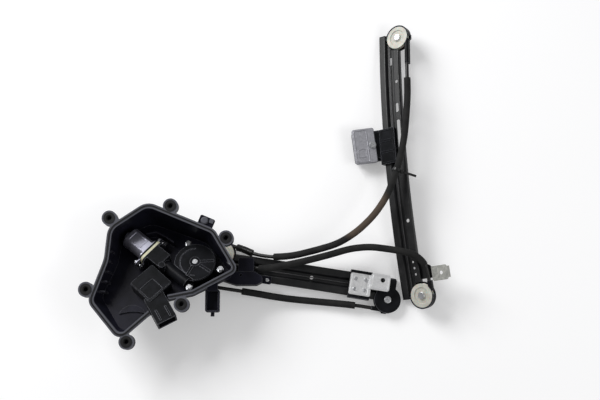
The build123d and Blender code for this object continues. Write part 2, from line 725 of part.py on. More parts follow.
def floor_ribs():
    """Screen wall behind the motor and the crescent pad in the near corner, standing on the floor."""
    body = extrude(make_face(offset(Polyline(*SCREEN_LINE), amount=0.9)), SCREEN_HEIGHT)
    (left, top, right), low = CRESCENT_ARC, CRESCENT_LOW
    face = make_face(ThreePointArc(left, top, right) + ThreePointArc(right, low, left))
    return MOTOR_FRAME * (Location((0, 0, -1)) * (body + extrude(face, CRESCENT_HEIGHT)))


def motor_carrier_pan():
    outer = loft([floor_face(PAN_WALL, -PAN_WALL), rim_face(PAN_WALL - FLANGE_WIDTH)], ruled=True)
    flange = Location((0, 0, -FLANGE_THICKNESS)) * extrude(rim_face(0), FLANGE_THICKNESS)
    body = outer + flange
    for ear in EARS:
        web = plate(0, EAR_WEB_LENGTH, -EAR_WEB_WIDTH / 2, EAR_WEB_WIDTH / 2, -EAR_HEIGHT * 0.7, 0)
        body += ear_place(ear) * (post(EAR_RADIUS, -EAR_HEIGHT, 0) + web)
    body += pan_arm()
    for along, across in ARM_PADS:
        body += on_rail(LOWER_RAIL_FRAME, along, across) * post(4.5, SEAT_GAP, 3.4)
    tongue = on_rail(LOWER_RAIL_FRAME, ARM_PADS[0][0], ARM_PADS[0][1]) * plate(-16, 7, -7, 7, 1.2, 4.2, 3)
    body += tongue
    body += plate(-161, -137, -206, -168, 60, 78, 3) - plate(-158.5, -139.5, -203.5, -170.5, 62.5, 79)
    body += plate(-158, -140, -171, -150, 72, 78)
    hook = plate(-152, -146, -213, -205.5, 62, 65) + plate(-152, -146, -213, -210.5, 62, 70)
    body += hook
    cavity = loft([floor_face(0, 0), rim_face(-FLANGE_WIDTH)], ruled=True)
    body -= cavity
    seal_middle = FLANGE_WIDTH / 2
    groove_width = SEAL_WIDTH + 2 * SEAT_GAP
    groove = rim_face(groove_width / 2 - seal_middle) - rim_face(-groove_width / 2 - seal_middle)
    body -= extrude(groove, -SEAL_GROOVE_DEPTH)
    for ear in EARS:
        body -= ear_place(ear) * post(EAR_BORE_RADIUS, EAR_FLOOR - EAR_HEIGHT, 1)
        body -= ear_place(ear) * post(EAR_RECESS_RADIUS, -GROMMET_FLANGE, 1)
    for x, y in MOTOR_SCREWS:
        body += MOTOR_FRAME * Location((x, y, 0)) * post(7, -PAN_WALL - 4, -PAN_WALL + 0.01)
        body -= MOTOR_FRAME * Location((x, y, 0)) * post(SCREW_RADIUS, -9, 1)
    for along, across in ARM_PADS:
        body -= on_rail(LOWER_RAIL_FRAME, along, across) * post(2.0, -5, 30)
    body -= MOTOR_FRAME * post(9, -9, 1)
    body -= connector_room(2)
    body += floor_ribs()
    for index in range(PAN_RIB_COUNT):
        # Stiffening ribs down the long outer wall, cut to the wall's slope by the pan's own shape
        rib = plate(-3, 14, -PAN_WALL / 2, PAN_WALL / 2, -200, -6)
        place = Location((PAN_RIB_X - index * 2.5, PAN_RIB_Y - index * PAN_RIB_PITCH, PAN_RIM_LEVEL))
        body += (place * rib) & outer
    return body


def rim_seal():
    """Rubber bead round the rim, in its groove."""
    middle = FLANGE_WIDTH / 2
    bead = rim_face(SEAL_WIDTH / 2 - middle) - rim_face(-SEAL_WIDTH / 2 - middle)
    body = Location((0, 0, -SEAL_GROOVE_DEPTH)) * extrude(bead, SEAL_HEIGHT)
    return body - connector_room(3)


def connector_room(gap):
    """Notch through the pan's rim and wall round the connector."""
    side = SHROUD_HALF_WIDTH + gap
    return SHROUD_FRAME * plate(-14, 60, -side, side, SHROUD_BOTTOM - 1, 90)


def ear_grommets():
    """Rubber grommet in each screw ear."""
    outer = EAR_BORE_RADIUS - SEAT_GAP
    rim = EAR_RECESS_RADIUS - SEAT_GAP
    low = EAR_FLOOR - EAR_HEIGHT + SEAT_GAP
    grommets = []
    for ear in EARS:
        shape = turned(
            (EAR_HOLE_RADIUS, low),
            (outer, low),
            (outer, -GROMMET_FLANGE),
            (rim, -GROMMET_FLANGE),
            (rim, 1.0),
            (EAR_HOLE_RADIUS + 2, 1.0),
            (EAR_HOLE_RADIUS, -1.0),
        )
        grommets.append(ear_place(ear) * shape)
    return group(grommets)


def arm_rivets():
    """Rivets that hold the pan's arm to the lower rail."""
    rivets = []
    for (along, across), top in zip(ARM_PADS, (4.2, 3.4)):
        place = on_rail(LOWER_RAIL_FRAME, along, across)
        rivets.append(place * rivet(-RAIL_SHEET - 1.5, top, 2.0, 3.4, 1.4))
    return group(rivets)


# ---- Gear motor ----
def along_worm(radius, start, end):
    """Cylinder along the worm's axis, in the worm frame."""
    return Location((start, 0, 0)) * extrude(Plane.YZ * Circle(radius), end - start)


def across_worm(face, start, end):
    """Prism along the worm's axis from a face in its cross-section."""
    return Location((start, 0, 0)) * extrude(Plane.YZ * face, end - start)


def can_face(shrink=0.0):
    """Round can with two flats."""
    return Circle(CAN_WIDTH / 2 - shrink) & Rectangle(CAN_WIDTH + 2, CAN_HEIGHT - 2 * shrink)


def lug_face(width, height, corner):
    """Rounded plate with a screw lug at each side."""
    face = RectangleRounded(width, height, corner)
    face += Rectangle(2 * CAN_SCREW_Y, 2 * LUG_RADIUS)
    for side in (-1, 1):
        face += Location((side * CAN_SCREW_Y, 0)) * Circle(LUG_RADIUS)
    return face


HOLDER_START = CAN_END + 1.6
GASKET_START = HOLDER_START + 3.9
GASKET_END = GASKET_START + 4.5
BLOCK_START = GASKET_END + 3.5


def motor_can():
    body = across_worm(can_face(), CAN_START, CAN_END)
    body = fillet(body.faces().sort_by(Axis.X)[0].edges(), 2.5)
    body += across_worm(lug_face(CAN_WIDTH + 4, CAN_HEIGHT, 7), CAN_END, HOLDER_START)
    body += along_worm(BUSH_RADIUS + CAN_WALL, CAN_START - 7, CAN_START + 1)
    body -= across_worm(can_face(CAN_WALL), CAN_START + CAN_WALL, CAN_END + 5)
    body -= along_worm(BUSH_RADIUS, CAN_START - 7 + CAN_WALL, CAN_START + 5)
    body -= can_screw_holes()
    # Shallow pressed panel in the flat of the can
    panel = plate(CAN_START + 9, CAN_END - 9, -9, 9, CAN_HEIGHT / 2 - 0.4, CAN_HEIGHT, 2)
    body -= panel
    return WORM_FRAME * body


def can_screw_holes():
    """Holes for the two long screws beside the can."""
    holes = along_worm(1.8, CAN_END - 5, BLOCK_START + 1)
    return Location((0, CAN_SCREW_Y, 0)) * holes + Location((0, -CAN_SCREW_Y, 0)) * holes


def can_screws():
    screws = []
    for side in (-1, 1):
        shank = along_worm(1.8, CAN_END, BLOCK_START)
        head = across_worm(RegularPolygon(3.6, 6), CAN_END - 3.2, CAN_END)
        screws.append(WORM_FRAME * Location((0, side * CAN_SCREW_Y, 0)) * (shank + head))
    return group(screws)


def motor_magnets():
    """Two curved magnets inside the can."""
    inner = CAN_WIDTH / 2 - CAN_WALL - 3.4
    face = (Circle(CAN_WIDTH / 2 - CAN_WALL - SEAT_GAP) - Circle(inner)) & Rectangle(CAN_WIDTH, 20)
    parts = across_worm(face, CAN_START + 6, CAN_END - 8)
    return group([WORM_FRAME * magnet for magnet in parts.solids()])


def armature_core():
    """Laminated core with winding slots."""
    face = Circle(ARMATURE_RADIUS) - Circle(MOTOR_SHAFT_RADIUS)
    for index in range(ARMATURE_SLOTS):
        turn = Location((0, 0, 0), (0, 0, index * 360 / ARMATURE_SLOTS))
        face -= turn * Location((ARMATURE_RADIUS - 2.5, 0)) * Rectangle(6.5, 2.4)
    return WORM_FRAME * across_worm(face, CAN_START + 8, CAN_END - 11)


def commutator():
    body = along_worm(COMMUTATOR_RADIUS, CAN_END - 7, CAN_END + 6)
    body -= along_worm(MOTOR_SHAFT_RADIUS, CAN_END - 8, CAN_END + 7)
    for index in range(ARMATURE_SLOTS):
        slot = plate(CAN_END - 5, CAN_END + 7, -0.4, 0.4, COMMUTATOR_RADIUS - 0.8, COMMUTATOR_RADIUS + 1)
        body -= Location((0, 0, 0), (index * 360 / ARMATURE_SLOTS, 0, 0)) * slot
    return WORM_FRAME * body


WORM_PITCH_RADIUS = WORM_OFFSET - GEAR_MODULE * WHEEL_TEETH / 2


def worm_shaft():
    """Motor shaft with the worm on its far end."""
    body = along_worm(MOTOR_SHAFT_RADIUS, CAN_START - 4, SHAFT_END)
    body += along_worm(WORM_ROOT_RADIUS, WORM_START, WORM_END)
    # Single right-handed thread, its crest just clear of the wheel's teeth
    lead = pi * GEAR_MODULE
    path = Helix(lead, WORM_END - WORM_START - 2 * lead, WORM_ROOT_RADIUS)
    crest = WORM_CREST_RADIUS - WORM_ROOT_RADIUS
    profile = outline((-0.4, -0.34 * lead), (crest, -0.18 * lead), (crest, 0.18 * lead), (-0.4, 0.34 * lead))
    start = Plane(origin=path @ 0, x_dir=(1, 0, 0), z_dir=path % 0)
    thread = sweep(start * profile, path=path, is_frenet=True)
    body += Location((WORM_START + lead, 0, 0), (0, 90, 0)) * thread
    return WORM_FRAME * body


def shaft_bushes():
    """Sintered bushes of the motor shaft."""
    ring_face = Circle(BUSH_RADIUS) - Circle(MOTOR_SHAFT_RADIUS + SHAFT_GAP)
    spans = (
        (CAN_START - 7 + CAN_WALL, CAN_START + 2),
        (-50.0, -50.0 + BUSH_LENGTH),
        (SHAFT_END - BUSH_LENGTH, SHAFT_END),
    )
    return group([WORM_FRAME * across_worm(ring_face, start, end) for start, end in spans])


def brush_holder():
    """Black moulding between the can and the gasket, round the commutator."""
    body = across_worm(lug_face(44, 32, 7), HOLDER_START, GASKET_START)
    body -= along_worm(COMMUTATOR_RADIUS + 1.5, HOLDER_START - 1, GASKET_START + 1)
    body -= can_screw_holes()
    return WORM_FRAME * body


def brush_gasket():
    """Pale sealing frame between the brush holder and the gear housing."""
    face = RectangleRounded(46, 33, 7) - RectangleRounded(30, 24, 5)
    return WORM_FRAME * across_worm(face, GASKET_START, GASKET_END)


def screw_ear(x, y):
    """Ear of the gear housing with its web to the wheel case."""
    reach = Vector(x, y).length
    angle = degrees(atan2(y, x))
    ear = Location((x, y, 0)) * post(6.0, 0, MOTOR_EAR_HEIGHT)
    web = Location((0, 0, 0), (0, 0, angle)) * plate(WHEEL_CASE_RADIUS - 4, reach, -4.5, 4.5, 0, 12)
    return ear + web


CASE_FLOOR = WORM_LEVEL - WHEEL_THICKNESS / 2 - 2.6


def gear_housing():
    """Black moulding with the wheel case, the worm tube and the block that takes the motor."""
    to_worm = MOTOR_FRAME.inverse() * WORM_FRAME
    body = post(WHEEL_CASE_RADIUS, 0, WHEEL_CASE_HEIGHT)
    for x, y in MOTOR_SCREWS:
        body += screw_ear(x, y)
    body += to_worm * along_worm(WORM_TUBE_RADIUS, BLOCK_END - 2, SHAFT_END + 1.5)
    body += to_worm * plate(BLOCK_START - 0.5, BLOCK_END, -14.5, 14.5, -14.5, 16.5)
    body += to_worm * across_worm(lug_face(48, 33, 7), GASKET_END, BLOCK_START)
    body += to_worm * Location((BLOCK_END + 3, -9, 0)) * post(5.5, -14, 18)
    body -= post(WHEEL_CASE_RADIUS - CASE_WALL, CASE_FLOOR, WHEEL_CASE_HEIGHT + 1)
    body -= to_worm * along_worm(WORM_PITCH_RADIUS + 1.8, -40, SHAFT_END - BUSH_LENGTH)
    body -= to_worm * along_worm(12, GASKET_END - 1, -50)
    body -= to_worm * along_worm(BUSH_RADIUS, -51, SHAFT_END)
    body -= to_worm * can_screw_holes()
    body -= post(OUTPUT_SHAFT_RADIUS + SHAFT_GAP, -1, 30)
    for x, y in MOTOR_SCREWS:
        body -= Location((x, y, 0)) * post(SCREW_RADIUS, -1, 30)
    return MOTOR_FRAME * body


def gear_cover():
    """Lid of the wheel case with a hub and three ribs."""
    top = WHEEL_CASE_HEIGHT + COVER_THICKNESS
    body = post(WHEEL_CASE_RADIUS - 0.6, WHEEL_CASE_HEIGHT, top)
    body = chamfer(body.edges().group_by(Axis.Z)[-1], 0.8)
    body += post(9, top - 1, top + 2)
    for angle in COVER_RIB_ANGLES:
        rib = plate(6, WHEEL_CASE_RADIUS - 3, -2.2, 2.2, top - 1, top + 1.4)
        body += Location((0, 0, 0), (0, 0, angle)) * rib
    body -= ring(27, 25.4, top - 0.8, top + 0.01) - plate(0, 40, -60, 60, 0, 60)
    body -= post(OUTPUT_SHAFT_RADIUS + SHAFT_GAP, 0, 60)
    body -= MOTOR_FRAME.inverse() * WORM_FRAME * along_worm(WORM_TUBE_RADIUS + SEAT_GAP, -60, 60)
    return MOTOR_FRAME * body


def worm_wheel():
    """Moulded wheel with its rim of teeth, a thin web and a hub."""
    pitch = GEAR_MODULE * WHEEL_TEETH / 2
    root = pitch - 1.1 * GEAR_MODULE
    tip = pitch + 0.9 * GEAR_MODULE
    face = Circle(root)
    tooth = outline(
        (root - 1, -0.95 * GEAR_MODULE),
        (root, -0.95 * GEAR_MODULE),
        (tip, -0.42 * GEAR_MODULE),
        (tip, 0.42 * GEAR_MODULE),
        (root, 0.95 * GEAR_MODULE),
        (root - 1, 0.95 * GEAR_MODULE),
    )
    face += [Location((0, 0, 0), (0, 0, index * 360 / WHEEL_TEETH)) * tooth for index in range(WHEEL_TEETH)]
    body = extrude(face, WHEEL_THICKNESS)
    body -= ring(root - 3.5, 11, WHEEL_THICKNESS / 2 + 1.5, WHEEL_THICKNESS + 1)
    body -= ring(root - 3.5, 11, -1, WHEEL_THICKNESS / 2 - 1.5)
    body -= post(OUTPUT_SHAFT_RADIUS, -1, WHEEL_THICKNESS + 1)
    return MOTOR_FRAME * Location((0, 0, WORM_LEVEL - WHEEL_THICKNESS / 2)) * body


DRUM_BOTTOM = DRUM_LEVEL - DRUM_HEIGHT / 2
DRUM_TOP = DRUM_LEVEL + DRUM_HEIGHT / 2


def output_shaft():
    top = WHEEL_CASE_HEIGHT + COVER_THICKNESS + 1.6
    return MOTOR_FRAME * post(OUTPUT_SHAFT_RADIUS, DRUM_BOTTOM - 1, top)


def cable_drum():
    """Drum with a groove for each wrap of the cable."""
    pitch = (DRUM_HEIGHT - 2) / DRUM_GROOVES
    points = [(OUTPUT_SHAFT_RADIUS, DRUM_BOTTOM), (DRUM_RADIUS + 2, DRUM_BOTTOM)]
    for index in range(DRUM_GROOVES):
        start = DRUM_BOTTOM + 1 + index * pitch
        points += [(DRUM_RADIUS + 0.8, start), (DRUM_RADIUS - 0.8, start + pitch / 2)]
    points += [(DRUM_RADIUS + 0.8, DRUM_TOP - 1), (DRUM_RADIUS + 2, DRUM_TOP), (OUTPUT_SHAFT_RADIUS, DRUM_TOP)]
    return MOTOR_FRAME * turned(*points)


DRUM_CASE_RADIUS = DRUM_RADIUS + 5.5


def drum_housing():
    """Cup under the pan's floor with a socket for each conduit."""
    top = -PAN_WALL - SEAT_GAP
    low = top - DRUM_CASE_DEPTH
    into = MOTOR_FRAME.inverse()
    body = post(DRUM_CASE_RADIUS, low, top)
    for lead in (DRUM_MIDDLE_LEAD, DRUM_LOWER_LEAD):
        rod = Location((10, 0, 0)) * extrude(Plane.YZ * Circle(4.2), DRUM_FITTING_REACH - 10)
        body += into * lead * rod
    body -= post(DRUM_CASE_RADIUS - DRUM_CASE_WALL, low + DRUM_CASE_WALL, top + 1)
    for lead in (DRUM_MIDDLE_LEAD, DRUM_LOWER_LEAD):
        rod = extrude(Plane.YZ * Circle(CABLE_RADIUS + RUNNING_GAP), 60)
        body -= into * lead * rod
    body -= post(OUTPUT_SHAFT_RADIUS + SHAFT_GAP, DRUM_BOTTOM - 1.1, top)
    return MOTOR_FRAME * body


def motor_screws():
    screws = []
    for x, y in MOTOR_SCREWS:
        screw = hex_screw(-PAN_WALL - 3, MOTOR_EAR_HEIGHT, SCREW_RADIUS, 8, 3.6)
        screws.append(MOTOR_FRAME * Location((x, y, 0)) * screw)
    return group(screws)


# ---- Electronics ----


def box_body(grow, low, high):
    """Rounded block of the electronics box, grown outwards."""
    return plate(-25 - grow, 25 + grow, -27 - grow, 24 + grow, low, high, 4 + grow)


def electronics_housing():
    body = box_body(0, 0, BOX_TOP) - box_body(-BOX_WALL, BOX_WALL, BOX_TOP + 1)
    width = SHROUD_HALF_WIDTH
    shroud = plate(-22, SHROUD_END, -width, width, SHROUD_BOTTOM, SHROUD_TOP - 1.2)
    shroud -= plate(
        8,
        SHROUD_END + 1,
        SHROUD_WALL - width,
        width - SHROUD_WALL,
        SHROUD_BOTTOM + SHROUD_WALL,
        SHROUD_TOP - 1.2 - SHROUD_WALL,
    )
    for side in (-1, 1):
        # Guide rails of the plug on the shroud's top
        rail_y = side * width / 2
        shroud += plate(6, SHROUD_END - 4, rail_y - 1.5, rail_y + 1.5, SHROUD_TOP - 1.3, SHROUD_TOP)
    into = ELECTRONICS_FRAME.inverse() * SHROUD_FRAME
    body += into * shroud - box_body(-BOX_WALL, BOX_WALL, BOX_TOP + 1)
    body -= into * plate(-40, 12, -12, 12, BOARD_LEVEL - 4, BOARD_LEVEL + 6)
    return ELECTRONICS_FRAME * body


def electronics_lid():
    body = box_body(-0.2, BOX_TOP, BOX_TOP + 2.2)
    body = chamfer(body.edges().group_by(Axis.Z)[-1], 0.8)
    body -= plate(-4, 22, -24, 6, BOX_TOP + 0.9, BOX_TOP + 5, 3)
    return ELECTRONICS_FRAME * body


def circuit_board():
    board = plate(-22, 22, -24, 21, BOARD_LEVEL - 1.6, BOARD_LEVEL)
    for x, y, size, height in ((-10, -8, 14, 4), (6, 8, 10, 6), (8, -14, 9, 3), (-12, 12, 8, 9)):
        board += plate(x, x + size, y, y + size, BOARD_LEVEL - 0.01, BOARD_LEVEL + height)
    return ELECTRONICS_FRAME * board


def connector_pins():
    """Two rows of pins through the wall of the connector."""
    wall = plate(4, 7.8, -11.8, 11.8, BOARD_LEVEL - 3.8, BOARD_LEVEL + 5.8)
    for row in (-1.6, 2.4):
        for column in range(PIN_COLUMNS):
            y = (column - (PIN_COLUMNS - 1) / 2) * PIN_PITCH
            level = BOARD_LEVEL + row
            wall += plate(-6, 22, y - 0.5, y + 0.5, level - 0.5, level + 0.5)
    return SHROUD_FRAME * wall


# ---- Clips, brackets and small parts ----
def cable_guide_block():
    """Clip block beside the pan's arm, with a hole for the middle conduit."""
    block = plate(-107, -80, -134, -110, 18.0, 46, 3)
    return block - tube_along(MIDDLE_PATH, CONDUIT_RADIUS + SEAT_GAP)


def harness_clip():
    """Push-in clip with a domed head, on a bracket under the flange."""
    place = Location((-163.3, -51.2, PAN_RIM_LEVEL - FLANGE_THICKNESS), (0, 0, -22.5))
    base = plate(-10, 17, -11, 8, -3, -SEAT_GAP, 3)
    dome = post(6.4, -3, 5)
    dome = fillet(dome.edges().group_by(Axis.Z)[-1], 3)
    square = plate(8, 15, 0, 7, -3, 3, 1)
    return place * (base + dome + square)


def rail_foot():
    """Black sheet that sticks out under the upright rail's edge, beside its lower pulley."""
    shape = outline((-8, -19), (-8, -52), (14, -40), (26, -19))
    place = on_rail(UPRIGHT_RAIL_FRAME, -200, 0)
    low = -LIP_DEPTH - SEAT_GAP - RAIL_SHEET - 0.3
    return place * Location((0, 0, low)) * extrude(shape, RAIL_SHEET)


def rail_foot_tab():
    """Galvanised tab on the end of the black sheet, folded down at its edge."""
    low = -LIP_DEPTH - SEAT_GAP - 0.3
    tab = plate(-14, 12, -72, -42, low, low + RAIL_SHEET, 3)
    tab += plate(-11, 9, -72, -72 + RAIL_SHEET, low - 9, low + RAIL_SHEET)
    tab -= Location((-1, -60, 0)) * post(3.2, -30, 30)
    return on_rail(UPRIGHT_RAIL_FRAME, -200, 0) * tab


def cable_tie():
    """Strap round the upper conduit's sleeve with its tail."""
    place = Location(UPPER_PATH @ TIE_POSITION)
    frame = Plane(origin=place.position, z_dir=UPPER_PATH % TIE_POSITION).location
    strap = ring(SLEEVE_RADIUS + SEAT_GAP + 1.3, SLEEVE_RADIUS + SEAT_GAP, -2.2, 2.2)
    head = plate(SLEEVE_RADIUS + 1, SLEEVE_RADIUS + 6, -3, 3, -3, 3, 1)
    tail = plate(SLEEVE_RADIUS + 5.8, SLEEVE_RADIUS + 30, 0, 1.3, -2, 2)
    return frame * Location((0, 0, 0), (0, 0, TIE_TURN)) * (strap + head + tail)


def adjuster(path):
    """Three ribbed rubber boots over the first stretch of a conduit."""
    boots = []
    for start in BOOT_STARTS:
        end = start + BOOT_LENGTH
        boot = tube_along(path.trim(start / path.length, end / path.length), BOOT_RADIUS)
        pitch = BOOT_LENGTH / BOOT_RIBS
        for index in range(BOOT_RIBS):
            first = (start + (index + 0.2) * pitch) / path.length
            last = (start + (index + 0.8) * pitch) / path.length
            boot += tube_along(path.trim(first, last), BOOT_RIB_RADIUS)
        boots.append(boot - tube_along(path, CONDUIT_RADIUS + SEAT_GAP))
    return group(boots)


PIECES = {
    "motor_carrier_pan": motor_carrier_pan(),
    "rim_seal": rim_seal(),
    "ear_grommets": ear_grommets(),
    "arm_rivets": arm_rivets(),
    "harness_clip": harness_clip(),
    "cable_guide_block": cable_guide_block(),
    "motor_can": motor_can(),
    "motor_magnets": motor_magnets(),
    "can_screws": can_screws(),
    "brush_holder": brush_holder(),
    "brush_gasket": brush_gasket(),
    "shaft_bushes": shaft_bushes(),
    "armature_core": armature_core(),
    "commutator": commutator(),
    "worm_shaft": worm_shaft(),
    "gear_housing": gear_housing(),
    "gear_cover": gear_cover(),
    "worm_wheel": worm_wheel(),
    "output_shaft": output_shaft(),
    "cable_drum": cable_drum(),
    "drum_housing": drum_housing(),
    "motor_screws": motor_screws(),
    "electronics_housing": electronics_housing(),
    "electronics_lid": electronics_lid(),
    "circuit_board": circuit_board(),
    "connector_pins": connector_pins(),
    "lower_rail": lower_rail(),
    "upright_rail": upright_rail(),
    "lower_far_pulley": LOWER_FAR * pulley(),
    "lower_near_pulley": LOWER_NEAR * pulley(),
    "upright_top_pulley": UPRIGHT_TOP * pulley(),
    "upright_bottom_pulley": UPRIGHT_BOTTOM * pulley(),
    "lower_far_housing": pulley_housing(
        LOWER_RAIL_FRAME, LOWER_FAR_PULLEY, -1, LOWER_FAR_LEAD, FAR_FITTING_REACH, -1, (-3, 16)
    ),
    "lower_near_housing": pulley_housing(
        LOWER_RAIL_FRAME, LOWER_NEAR_PULLEY, 1, LOWER_NEAR_LEAD, NEAR_FITTING_REACH, 1, (-16, 3)
    ),
    "upright_top_housing": pulley_housing(
        UPRIGHT_RAIL_FRAME, UPRIGHT_PULLEY, -1, UPRIGHT_TOP_LEAD, TOP_FITTING_REACH, -1, (-16, 6)
    ),
    "upright_bottom_housing": pulley_housing(
        UPRIGHT_RAIL_FRAME, -UPRIGHT_PULLEY, -1, UPRIGHT_BOTTOM_LEAD, BOTTOM_FITTING_REACH, 1, (-16, 6)
    ),
    "lower_end_cover": lower_end_cover(),
    "pulley_rivets": pulley_rivets(),
    "lower_slider": lower_slider(),
    "lower_glass_carrier": lower_glass_carrier(),
    "lower_carrier_rivets": lower_carrier_rivets(),
    "lower_cable_nipple": nipple(LOWER_RAIL_FRAME, LOWER_CARRIER_MIDDLE),
    "upright_slider": upright_slider(),
    "glass_clamp_plate": glass_clamp_plate(),
    "glass_clamp_pads": glass_clamp_pads(),
    "clamp_bolt": clamp_bolt(),
    "upright_cable_nipple": nipple(UPRIGHT_RAIL_FRAME, UPRIGHT_CARRIER_MIDDLE),
    "lower_rail_cable": rail_cable(
        LOWER_RAIL_FRAME,
        (LOWER_NEAR_PULLEY, 1, NEAR_LEAD_TURN),
        (LOWER_FAR_PULLEY, -1, 0),
        ((LOWER_NEAR_LEAD, NEAR_FITTING_REACH), (LOWER_FAR_LEAD, FAR_FITTING_REACH)),
    ),
    "upright_rail_cable": rail_cable(
        UPRIGHT_RAIL_FRAME,
        (-UPRIGHT_PULLEY, -1, 0),
        (UPRIGHT_PULLEY, -1, 0),
        ((UPRIGHT_BOTTOM_LEAD, BOTTOM_FITTING_REACH), (UPRIGHT_TOP_LEAD, TOP_FITTING_REACH)),
    ),
    "conduit_upper": conduit(UPPER_PATH),
    "conduit_middle": conduit(MIDDLE_PATH),
    "conduit_lower": conduit(LOWER_PATH),
    "conduit_adjuster": adjuster(UPPER_PATH),
    "sleeve_upper": sleeve(UPPER_PATH, 0.14, 0.95),
    "sleeve_middle": sleeve(MIDDLE_PATH, 0.20, 0.93),
    "sleeve_lower": sleeve(LOWER_PATH, 0.20, 0.90),
    "cable_tie": cable_tie(),
    "rail_foot": rail_foot(),
    "rail_foot_tab": rail_foot_tab(),
}

os.makedirs("parts", exist_ok=True)
for name, shape in PIECES.items():
    export_step(Location(-ORIGIN) * shape, os.path.join("parts", name + ".step"))
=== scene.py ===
from math import radians

import bpy
from mathutils import Euler, Matrix, Vector


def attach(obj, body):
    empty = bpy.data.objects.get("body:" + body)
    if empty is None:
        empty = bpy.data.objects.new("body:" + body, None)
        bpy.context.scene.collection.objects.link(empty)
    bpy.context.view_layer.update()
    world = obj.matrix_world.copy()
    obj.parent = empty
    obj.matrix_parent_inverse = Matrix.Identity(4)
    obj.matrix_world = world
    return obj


# Window regulator of a car door: a moulded carrier tub with its gear motor, two curved rails with a
# glass carrier each, and the conduits of the cable loop that joins them. Metres, +Z up.
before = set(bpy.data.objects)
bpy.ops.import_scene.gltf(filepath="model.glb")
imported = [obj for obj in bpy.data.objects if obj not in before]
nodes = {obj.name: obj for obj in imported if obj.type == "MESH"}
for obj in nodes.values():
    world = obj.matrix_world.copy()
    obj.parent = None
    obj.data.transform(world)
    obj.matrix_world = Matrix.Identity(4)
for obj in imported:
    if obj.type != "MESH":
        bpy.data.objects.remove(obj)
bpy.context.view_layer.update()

# ---- Table, light and camera ----
# The regulator lies on a white sweep of card under one large softbox, with a second one for fill.
# The card is matt and takes the soft grey shadow; rays from the camera see it pushed up to white.
SWEEP = 6.0             # half the side of the card
CARD_DROP = 0.0005      # from the regulator's lowest point down to the card
CARD_GLOW = 0.22        # what the camera sees on top of the light that the card throws back
SKY_LIGHT = 0.3         # strength of the white surroundings as the regulator sees them
FOCAL_LENGTH, SENSOR_WIDTH = 63.34, 36.0    # millimetres
CAMERA_PLACE = (0.0572, -0.35383, 1.871)
CAMERA_AIM = (0.0572, -0.0239, -0.00013)


def linear(hex_colour):
    """Linear RGBA of an sRGB hex colour."""
    channels = [int(hex_colour[i:i + 2], 16) / 255 for i in (1, 3, 5)]
    return tuple(c / 12.92 if c <= 0.04045 else ((c + 0.055) / 1.055) ** 2.4 for c in channels) + (1,)


def add(tree, kind, inputs=(), **settings):
    """Adds one node, sets its properties, and fills its inputs with values or (node, output) links."""
    node = tree.nodes.new(kind)
    for name, value in settings.items():
        setattr(node, name, value)
    for name, value in dict(inputs).items():
        if isinstance(value, tuple) and isinstance(value[0], bpy.types.Node):
            tree.links.new(value[0].outputs[value[1]], node.inputs[name])
        else:
            node.inputs[name].default_value = value
    return node


def new_material(name):
    """An empty node material."""
    material = bpy.data.materials.new(name)
    material.use_nodes = True
    material.node_tree.nodes.clear()
    return material


def mesh_object(name, vertices, faces):
    """A mesh piece at the origin."""
    mesh = bpy.data.meshes.new(name)
    mesh.from_pydata(vertices, [], faces)
    mesh.update()
    piece = bpy.data.objects.new(name, mesh)
    bpy.context.scene.collection.objects.link(piece)
    return piece


def seen_by_camera(tree):
    """Link that is 1 on rays from the camera, also behind something clear, and 0 on all others."""
    ray = add(tree, "ShaderNodeLightPath")
    either = add(tree, "ShaderNodeMath", {0: (ray, "Is Camera Ray"), 1: (ray, "Is Transmission Ray")},
                 operation="MAXIMUM")
    return either, 0


white_card = new_material("matt_white_card")
tree = white_card.node_tree
card = add(tree, "ShaderNodeBsdfDiffuse", {"Color": linear("#ededee")})
lift = add(tree, "ShaderNodeMath", {0: seen_by_camera(tree), 1: CARD_GLOW}, operation="MULTIPLY")
glow = add(tree, "ShaderNodeEmission", {"Color": linear("#ffffff"), "Strength": (lift, 0)})
both = add(tree, "ShaderNodeAddShader", {0: (card, 0), 1: (glow, 0)})
add(tree, "ShaderNodeOutputMaterial", {"Surface": (both, 0)})

corners = ((-SWEEP, -SWEEP), (SWEEP, -SWEEP), (SWEEP, SWEEP), (-SWEEP, SWEEP))
floor = mesh_object("floor", [(x, y, -CARD_DROP) for x, y in corners], [(0, 1, 2, 3)])
floor.data.materials.append(white_card)

world = bpy.data.worlds.new("studio")
bpy.context.scene.world = world
world.use_nodes = True
world.node_tree.nodes.clear()
strength = add(world.node_tree, "ShaderNodeMapRange",
               {"Value": seen_by_camera(world.node_tree), "To Min": SKY_LIGHT, "To Max": 1.0})
sky = add(world.node_tree, "ShaderNodeBackground",
          {"Color": linear("#ffffff"), "Strength": (strength, "Result")})
add(world.node_tree, "ShaderNodeOutputWorld", {"Surface": (sky, 0)})


def facing(place, aim):
    """Turn of a lamp or camera that looks from its place at a spot."""
    return (Vector(aim) - Vector(place)).to_track_quat("-Z", "Y").to_euler()


def softbox(name, place, width, height, power):
    """Area lamp that points at the middle of the regulator."""
    lamp = bpy.data.lights.new(name, "AREA")
    lamp.shape = "RECTANGLE"
    lamp.size, lamp.size_y, lamp.energy = width, height, power
    box = bpy.data.objects.new(name, lamp)
    bpy.context.scene.collection.objects.link(box)
    box.location = place
    box.rotation_euler = facing(place, (0, 0, 0))


softbox("key_softbox", (-1.7, 1.5, 1.7), width=1.6, height=1.3, power=76)
softbox("fill_softbox", (1.8, -0.7, 1.6), width=1.2, height=1.2, power=14)

lens = bpy.data.cameras.new("camera")
lens.sensor_width = SENSOR_WIDTH
lens.lens = FOCAL_LENGTH
camera = bpy.data.objects.new("camera", lens)
bpy.context.scene.collection.objects.link(camera)
camera.location = CAMERA_PLACE
camera.rotation_euler = facing(CAMERA_PLACE, CAMERA_AIM)
bpy.context.scene.camera = camera
bpy.context.scene.view_settings.view_transform = "Standard"


